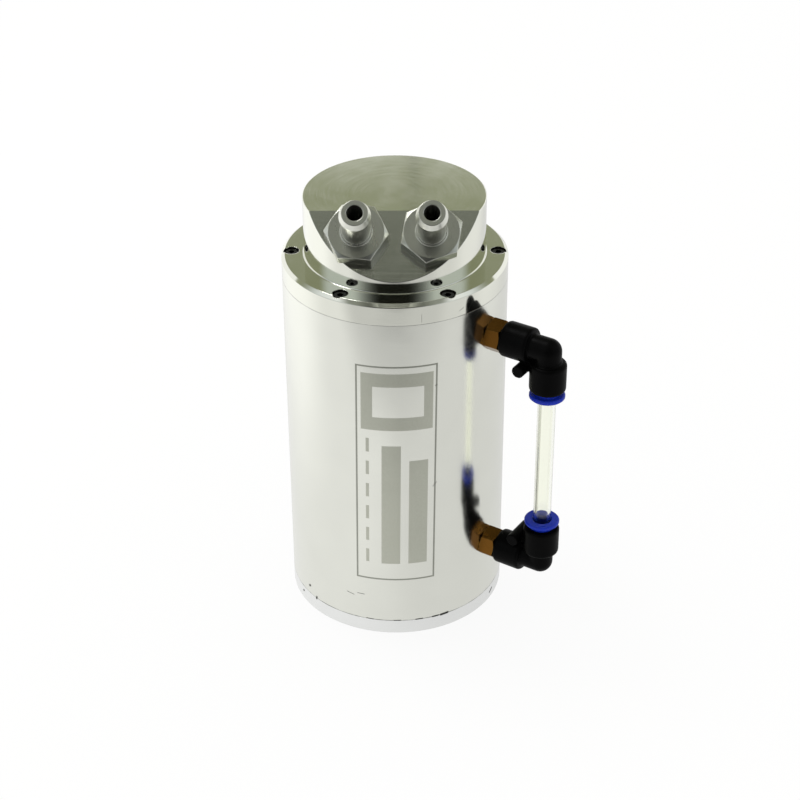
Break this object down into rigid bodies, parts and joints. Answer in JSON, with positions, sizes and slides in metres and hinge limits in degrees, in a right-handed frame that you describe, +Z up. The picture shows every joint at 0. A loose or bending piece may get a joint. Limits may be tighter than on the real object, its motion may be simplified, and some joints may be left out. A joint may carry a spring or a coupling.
{
  "type": "oil catch can",
  "caption": "Round aluminium oil catch can with hose barbs on an angled head and a clear sight tube between push-in elbows on its side.",
  "frame": {"origin": "centre of the base's underside, on the can's axis", "axes": "+Z up along the can's axis, -Y towards the head's cut face and its barbs, +X to the right of a viewer who faces that cut face"},
  "size_m": [0.0933, 0.0752, 0.1643],
  "materials": {
    "brushed_aluminium": "satin",
    "polished_aluminium": "polished",
    "turned_aluminium": "turned",
    "stainless_steel": "bright",
    "black_steel": "black oxide",
    "brass": "machined",
    "black_nylon": "moulded",
    "blue_acetal": "moulded",
    "clear_tube": "clear",
    "black_rubber": "matte",
    "fibre": "pressed"
  },
  "bodies": {
    "can": {"body_tube": "brushed_aluminium", "base_plate": "brushed_aluminium", "base_o_ring": "black_rubber", "base_screws": "black_steel", "drain_plug": "stainless_steel", "drain_washer": "fibre", "lid": "polished_aluminium", "lid_o_ring": "black_rubber", "lid_screws": "black_steel", "left_hose_barb": "turned_aluminium", "right_hose_barb": "turned_aluminium", "left_barb_seal": "black_rubber", "right_barb_seal": "black_rubber", "upper_stud": "brass", "lower_stud": "brass", "upper_swivel_seal": "black_rubber", "lower_swivel_seal": "black_rubber", "upper_elbow": "black_nylon", "lower_elbow": "black_nylon", "upper_tube_seal": "black_rubber", "lower_tube_seal": "black_rubber", "upper_grip_ring": "stainless_steel", "lower_grip_ring": "stainless_steel", "upper_retainer": "black_nylon", "lower_retainer": "black_nylon", "sight_tube": "clear_tube"},
    "upper_release": {"upper_collet": "blue_acetal"},
    "lower_release": {"lower_collet": "blue_acetal"}
  },
  "joints": [
    {"name": "upper_collet_slide", "type": "slide", "parent": "can", "child": "upper_release", "axis": [0, 0, 1], "range_m": [0, 0.0012], "stiffness_N_per_m": 1500},
    {"name": "lower_collet_slide", "type": "slide", "parent": "can", "child": "lower_release", "axis": [0, 0, -1], "range_m": [0, 0.0012], "stiffness_N_per_m": 1500}
  ]
}
